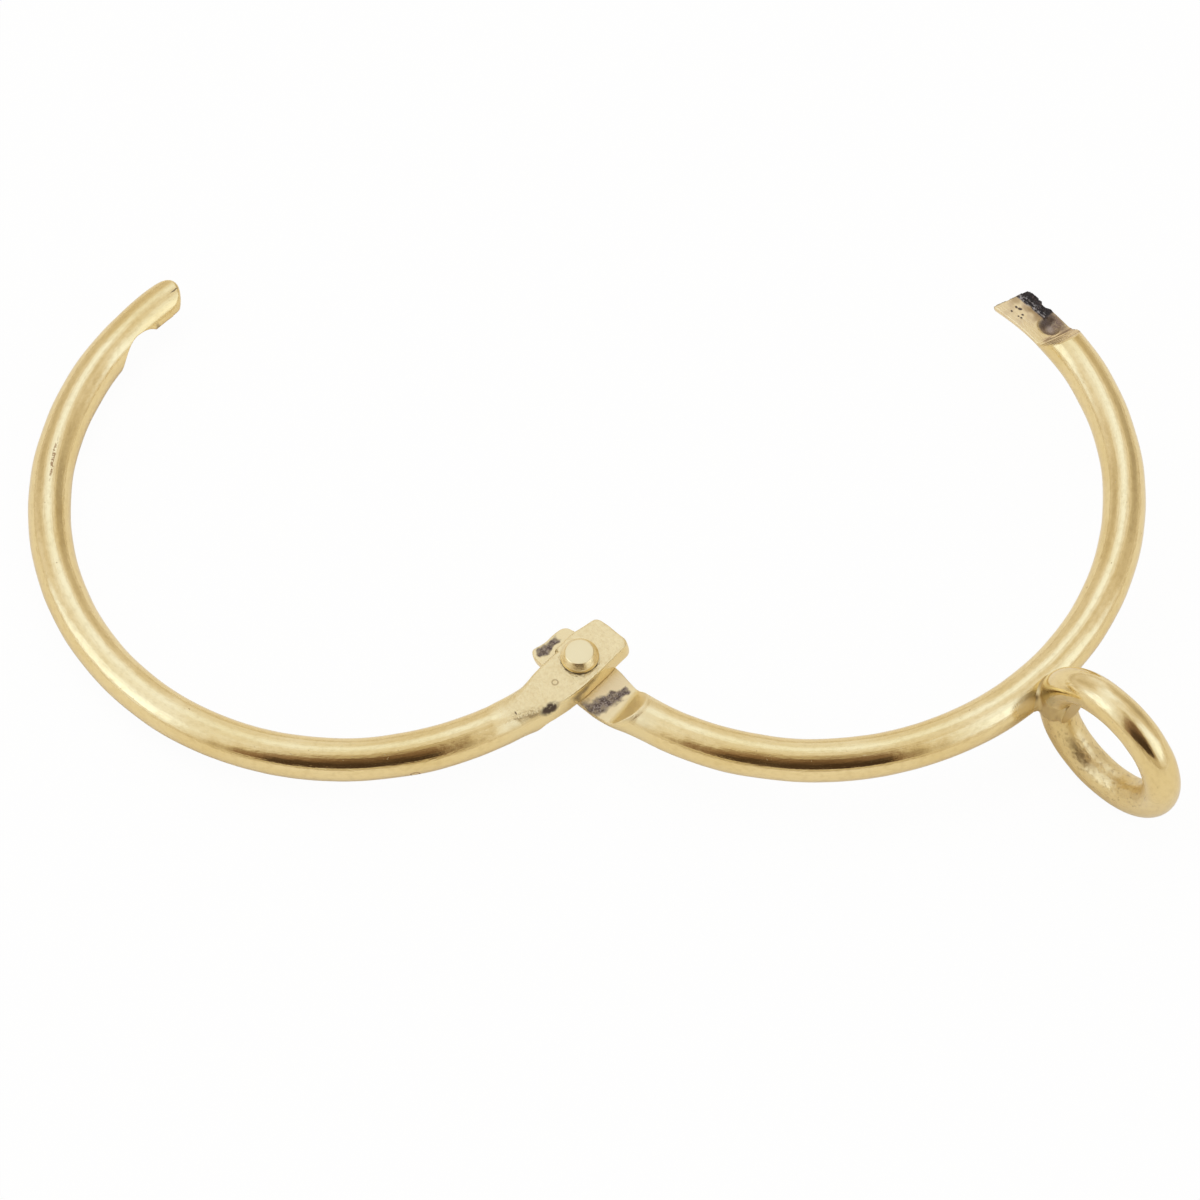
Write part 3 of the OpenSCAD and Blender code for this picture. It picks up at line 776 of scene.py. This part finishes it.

# Turned brass: a bright flank, a satin flat top, and a dark line of painted shade round it under the head
rivet_brass = Finish("rivet_turned_brass", 3)
t, p, q = rivet_brass.tree, rivet_brass.place, rivet_brass.shaken
high = add(t, "SeparateXYZ", {}, [p], 2)
torn_high = add(t, "SeparateXYZ", {}, [q], 2)
rivet_brass.layer([add(t, "MapRange", SOFT_EDGE, [high, 1.3, 1.4])], None, 0.26)
rivet_brass.layer([add(t, "MapRange", SOFT_EDGE, [high, 1.98, 2.0])], linear("#F0DFAE"), 0.36,
                  relief=[noise(t, p, 0.08), 0.006])
# Painted shade: a dark line in the corner under the head
painted_contact_shade = add(t, "MapRange", SOFT_EDGE, [torn_high, UNDER_HEAD + 0.16, UNDER_HEAD + 0.02])
rivet_brass.layer([painted_contact_shade], linear("#5E4322"), 0.4, 0.6)
rivet.data.materials.append(rivet_brass.done())
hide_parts("hinge_rivet")
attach(rivet, "eye_side")

# ---------------------------------------------------------------- Eyelet
# The small closed ring for the curtain hook, bent from thinner wire and coped to sit on the side of the
# ring wire. Its inside is dimpled by the mandrel, and it is flattened inside the joint.

EYELET_R = 4.8
EYELET_WIRE_R = 1.3
COPE_DEPTH = 0.95
EYELET_OUT = RING_R + WIRE_R - COPE_DEPTH + EYELET_WIRE_R + EYELET_R
EYELET_TURN = math.radians(92.8)
BRAZE_FILM = 0.08
IN_FROM_COPE = 0.42
EYELET_FRAME = EYE_FRAME @ Matrix.Translation((0, PIN_R * MM, 0))
EYELET_FRAME = EYELET_FRAME @ Matrix.Rotation(EYELET_TURN - math.pi / 2, 4, "Z")
EYELET_FRAME = EYELET_FRAME @ Matrix.Translation((EYELET_OUT * MM, 0, 0))
dimples = unevenness(31, 0.6)
hammering = unevenness(32, 1.7)


def seat(x, y, z):
    """Ring wire as the eyelet sees it."""
    return np.hypot(np.hypot(x + EYELET_OUT, y) - RING_R, z) - WIRE_R


def eyelet_metal(x, y, z):
    reach = np.hypot(x, z)
    inner = np.clip((EYELET_R - reach) / EYELET_WIRE_R + 0.3, 0, 1)
    inner = inner * inner * (3 - 2 * inner)
    wire = np.hypot(reach - EYELET_R, y) - EYELET_WIRE_R + 0.02 + 0.012 * hammering(x, y, z)
    wire = wire + inner * (0.02 + 0.008 * dimples(x, y, z))
    return both(wire, BRAZE_FILM - seat(x, y, z), 0.04)


turns = np.linspace(0, 2 * math.pi, 420, endpoint=False)
angles = np.linspace(0, 2 * math.pi, 120, endpoint=False)
near_seat = np.clip((np.cos(turns) * -1 - 0.85) / 0.15, 0, 1)
radial = np.stack([np.cos(turns), 0 * turns, np.sin(turns)], 1)
centres = radial * (EYELET_R - IN_FROM_COPE * near_seat)[:, None]
around = radial[:, None] * np.cos(angles)[:, None] + np.array([0, -1, 0]) * np.sin(angles)[:, None]
eyelet = skin("eyelet_ring", surface_along(eyelet_metal, centres[:, None], around, 2.4), EYELET_FRAME,
              looped=True)


def on_eyelet(x, y, z):
    return np.arctan2(z, -x) * EYELET_R, np.hypot(x, z) - EYELET_R, y


finish_metal(eyelet, EYELET_FRAME, eyelet_metal, on_eyelet)

# Polished brass with long highlights outside, and a broken, browner shine on the dimpled inside
eyelet_brass = Finish("eyelet_hammered_brass", 4)
t, p, q = eyelet_brass.tree, eyelet_brass.place, eyelet_brass.shaken
outward = add(t, "SeparateXYZ", {}, [p], 1)
inner = add(t, "MapRange", SOFT_EDGE, [outward, 0.1, -0.5])
hatch = noise(t, p, 0.22, (0.45, 1, 1), 3)
eyelet_brass.layer([inner], None, 0.36, relief=[hatch, 0.05])
eyelet_brass.layer([inner, add(t, "MapRange", SOFT_EDGE, [hatch, 0.55, 0.7, 0, 0.35])], TARNISH_BROWN, 0.3)
eyelet_brass.layer([spot(t, q, (0, -1.3, 0), (1.0, 0.25, 0.9), 0.2)], linear("#C9B98E"), 0.42)
eyelet_brass.layer([spot(t, q, (1.6, 0.2, -0.9), (1.4, 0.7, 0.8), 0.5), 0.6], linear("#B5A36C"), 0.4)
eyelet.data.materials.append(eyelet_brass.done())
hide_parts("eyelet")
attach(eyelet, "eye_side")

# ---------------------------------------------------------------- Braze
# The brazing metal drawn into the joint between the eyelet and the ring wire: a thin film in the cope
# and a lumpy collar round it.

JOINT = np.array([-EYELET_R - 0.3, 0, 0])
lumps = unevenness(41, 0.8)
COLLAR_R = 1.75
PAD_THICK, PAD_HIGH = 1.02, 1.1


def braze_metal(x, y, z):
    """Fillet round the joint, and the flat pad that fills the inside of the eyelet beside it."""
    wire = seat(x, y, z) - 0.02
    ring = np.hypot(np.hypot(x, z) - EYELET_R, y) - EYELET_WIRE_R
    fillet = either(wire, ring, 0.35) + 0.02 * lumps(x, y, z)
    fillet = both(fillet, np.sqrt((x + EYELET_R + 0.2) ** 2 + (y * 0.9) ** 2 + z ** 2) - COLLAR_R, 0.3)
    pad = (np.hypot(y / PAD_THICK, z / PAD_HIGH) - 1 + 0.05 * lumps(x, y, z)) * PAD_THICK
    pad = both(pad, x + EYELET_R - EYELET_WIRE_R - 0.11 + 0.006 * lumps(x, y, z), 0.06)
    return either(fillet, np.maximum(pad, -EYELET_R - 0.6 - x), 0.1)


tilts = np.linspace(0, math.pi, 80)
sines = np.sin(tilts)[:, None]
around = [np.cos(tilts)[:, None] + 0 * angles, sines * np.cos(angles), sines * np.sin(angles)]
around = np.stack(around, -1)
braze = skin("braze_collar", surface_along(braze_metal, JOINT, around, 3.0), EYELET_FRAME)
cut_from(braze, eye_half, keep_cutter=True)
cut_from(braze, eyelet, keep_cutter=True)
# The two cuts leave a few flaps without thickness along the seam, which are taken off.
seam = bmesh.new()
seam.from_mesh(braze.data)
bmesh.ops.triangulate(seam, faces=seam.faces[:])
twins = {}
for face in seam.faces:
    twins.setdefault(frozenset(point.index for point in face.verts), []).append(face)
flaps = [face for same in twins.values() if len(same) > 1 for face in same]
bmesh.ops.delete(seam, geom=flaps, context="FACES_ONLY")
seam.to_mesh(braze.data)
seam.free()
finish_metal(braze, EYELET_FRAME, braze_metal, on_eyelet)

# Brazing brass without lacquer, as it cooled: soft and yellow, grimy in its hollows, with a painted
# highlight along its rim
braze_look = Finish("braze_dull_brass", 5)
braze_look.coat = 0.0
t, p, q = braze_look.tree, braze_look.place, braze_look.shaken
grime = noise(t, p, 0.3, detail=4)
braze_look.layer([1.0], linear("#E4CD93"), 0.36, relief=[grime, 0.08])
braze_look.layer([add(t, "MapRange", SOFT_EDGE, [grime, 0.42, 0.6, 0, 0.65])], linear("#8E6E42"), 0.5)
pad, inside_rim = (spot(t, q, (0, -1.2, 0), size, 0.05) for size in ((1.08, 1.0, 1.0), (0.97, 1.0, 0.9)))
# Painted highlight: a thin bright line round the rim of the pad
rim_tint_and_highlight = add(t, "Math", {"operation": "SUBTRACT"}, [pad, inside_rim])
braze_look.layer([rim_tint_and_highlight], linear("#F7EBC2"), 0.25)
braze.data.materials.append(braze_look.done())
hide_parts("braze_joint")
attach(braze, "eye_side")

# ---------------------------------------------------------------- Floor, light and camera
# White paper floor, a soft lamp above, and a room of pale walls and softboxes all round. Its dark part is
# behind the camera, and the polished wire shows it as brown-black streaks along its front.

scene = bpy.context.scene
scene.view_settings.view_transform = "Standard"

# Matt paper that keeps the soft shadows and looks plain white
paper, tree = new_material("white_paper")
matt = add(tree, "BsdfDiffuse", {}, {"Color": linear("#FBF6E8")})
glow = add(tree, "Emission", {}, {"Color": linear("#FFFFFF"), "Strength": 1.0})
seen = all_of(tree, add(tree, "LightPath", {}, [], "Is Camera Ray"), 0.96)
add(tree, "OutputMaterial", {}, {"Surface": add(tree, "MixShader", {}, [seen, matt, glow])})
HALF = 2
sheet = bpy.data.meshes.new("floor")
sheet.from_pydata([(-HALF, -HALF, 0), (HALF, -HALF, 0), (HALF, HALF, 0), (-HALF, HALF, 0)], [],
                  [(0, 1, 2, 3)])
sheet.materials.append(paper)
floor = bpy.data.objects.new("floor", sheet)
scene.collection.objects.link(floor)

world = bpy.data.worlds.new("studio")
world.use_nodes = True
scene.world = world
sky = world.node_tree
sky.nodes.clear()
sight = add(sky, "TexCoord", {}, [], "Generated")
rightward, backward, skyward = add(sky, "SeparateXYZ", {}, [sight]).node.outputs
bearing = add(sky, "Math", {"operation": "ARCTAN2"}, [rightward, all_of(sky, backward, -1.0)])
bearing = add(sky, "Math", {"operation": "ADD"}, [all_of(sky, bearing, 0.5 / math.pi), 0.5])
BRIGHTEST = 1.5


def sweep(*stops):
    """Brightness round the room, from stops in degrees from straight in front, counted to the right."""
    made = add(sky, "ValToRGB", {}, [bearing])
    stripe = made.node.color_ramp
    stripe.interpolation = "EASE"
    for azimuth, strength in stops:
        if abs(azimuth) == 180:
            stop = stripe.elements[0 if azimuth < 0 else len(stripe.elements) - 1]
        else:
            stop = stripe.elements.new(azimuth / 360 + 0.5)
        stop.color = (strength / BRIGHTEST,) * 3 + (1,)
    return all_of(sky, made, BRIGHTEST)


# Walls and softboxes, the dark room between them
low = sweep((-180, 0.92), (-152, 0.7), (-130, 0.55), (-108, 0.8), (-90, 1.36), (-66, 1.48), (-50, 0.95),
            (-34, 0.2), (-26, 0.05), (20, 0.04), (28, 0.4), (42, 1.05), (60, 1.45), (84, 1.2), (104, 0.6),
            (130, 0.43), (154, 0.56), (180, 0.92))
# Upper walls and ceiling
upper = sweep((-180, 1.19), (-120, 1.02), (-70, 1.0), (-48, 0.84), (-32, 0.26), (-8, 0.12), (20, 0.17),
              (32, 0.66), (52, 1.08), (72, 1.14), (94, 0.9), (130, 0.68), (160, 0.96), (180, 1.19))
# Straight overhead
top = sweep((-180, 0.9), (-90, 0.88), (-20, 0.52), (20, 0.52), (90, 0.88), (180, 0.9))
up_high = add(sky, "MapRange", SOFT_EDGE, [skyward, 0.55, 0.88])
overhead = add(sky, "MapRange", SOFT_EDGE, [skyward, 0.9, 0.98])
light = add(sky, "Mix", {}, {0: up_high, 2: low, 3: upper})
light = add(sky, "Mix", {}, {0: overhead, 2: light, 3: top})
# Skirting: a pale stripe low down all round, with a dark line through it
pale_stripe = add(sky, "MapRange", SOFT_EDGE, [skyward, 0.27, 0.18, 0, 0.8])
dark_line = line_at(sky, skyward, 0.06, 0.04, 0.01, 0.25)
light = add(sky, "Mix", {}, {0: pale_stripe, 2: light, 3: 0.72})
light = add(sky, "Mix", {}, {0: dark_line, 2: light, 3: 0.12})
# The dim parts of the room are warm, and the brightest softboxes a little cool.
DIM_TINT, PLAIN_TINT, BRIGHT_TINT = (1.55, 0.97, 0.62, 1), (1.14, 1.0, 0.8, 1), (0.9, 1.0, 1.25, 1)
not_dim = add(sky, "MapRange", SOFT_EDGE, [light, 0.1, 0.45])
bright = add(sky, "MapRange", SOFT_EDGE, [light, 0.45, 1.25])
tint = add(sky, "Mix", {"data_type": "RGBA"}, {0: not_dim, 6: DIM_TINT, 7: PLAIN_TINT}, 2)
tint = add(sky, "Mix", {"data_type": "RGBA"}, {0: bright, 6: tint, 7: BRIGHT_TINT}, 2)
room = add(sky, "Background", {}, {"Color": tint, "Strength": light})
add(sky, "OutputWorld", {}, {"Surface": room})

lamp_data = bpy.data.lights.new("overhead_softbox", "AREA")
lamp_data.size = 0.4
lamp_data.energy = 0.6
lamp = bpy.data.objects.new("overhead_softbox", lamp_data)
lamp.location = (-0.15, 0.1, 0.6)
lamp.rotation_euler = (Vector((0, 0, 0)) - lamp.location).to_track_quat("-Z", "Y").to_euler()
lamp.visible_glossy = False
scene.collection.objects.link(lamp)

CAM_ELEVATION = math.radians(58.91)
CAM_AZIMUTH = math.radians(4.24)
CAM_ROLL = math.radians(-3.60)
CAM_DISTANCE = 327.9
CAM_TARGET = Vector((1.23, 5.28, 0))
CAM_FOCAL_SHARE = 4780.3 / 1200

BACK_WAY = Vector((0, 1, 0))
ring_axes = Matrix((BACK_WAY.cross(PIN_AXIS).normalized(), BACK_WAY, PIN_AXIS)).transposed()
flat = Vector((math.sin(CAM_AZIMUTH), -math.cos(CAM_AZIMUTH), 0))
away = flat * math.cos(CAM_ELEVATION) + Vector((0, 0, math.sin(CAM_ELEVATION)))
level = Vector((math.cos(CAM_AZIMUTH), math.sin(CAM_AZIMUTH), 0))
spin = Matrix((level, away.cross(level), away)).transposed() @ Matrix.Rotation(CAM_ROLL, 3, "Z")
camera_data = bpy.data.cameras.new("camera")
camera_data.lens = camera_data.sensor_width * CAM_FOCAL_SHARE
camera_data.clip_start = 0.01
camera = bpy.data.objects.new("camera", camera_data)
scene.collection.objects.link(camera)
stand = PIN + ring_axes @ (CAM_TARGET + away * CAM_DISTANCE) * MM
camera.matrix_world = Matrix.Translation(stand) @ (ring_axes @ spin).to_4x4()
scene.camera = camera
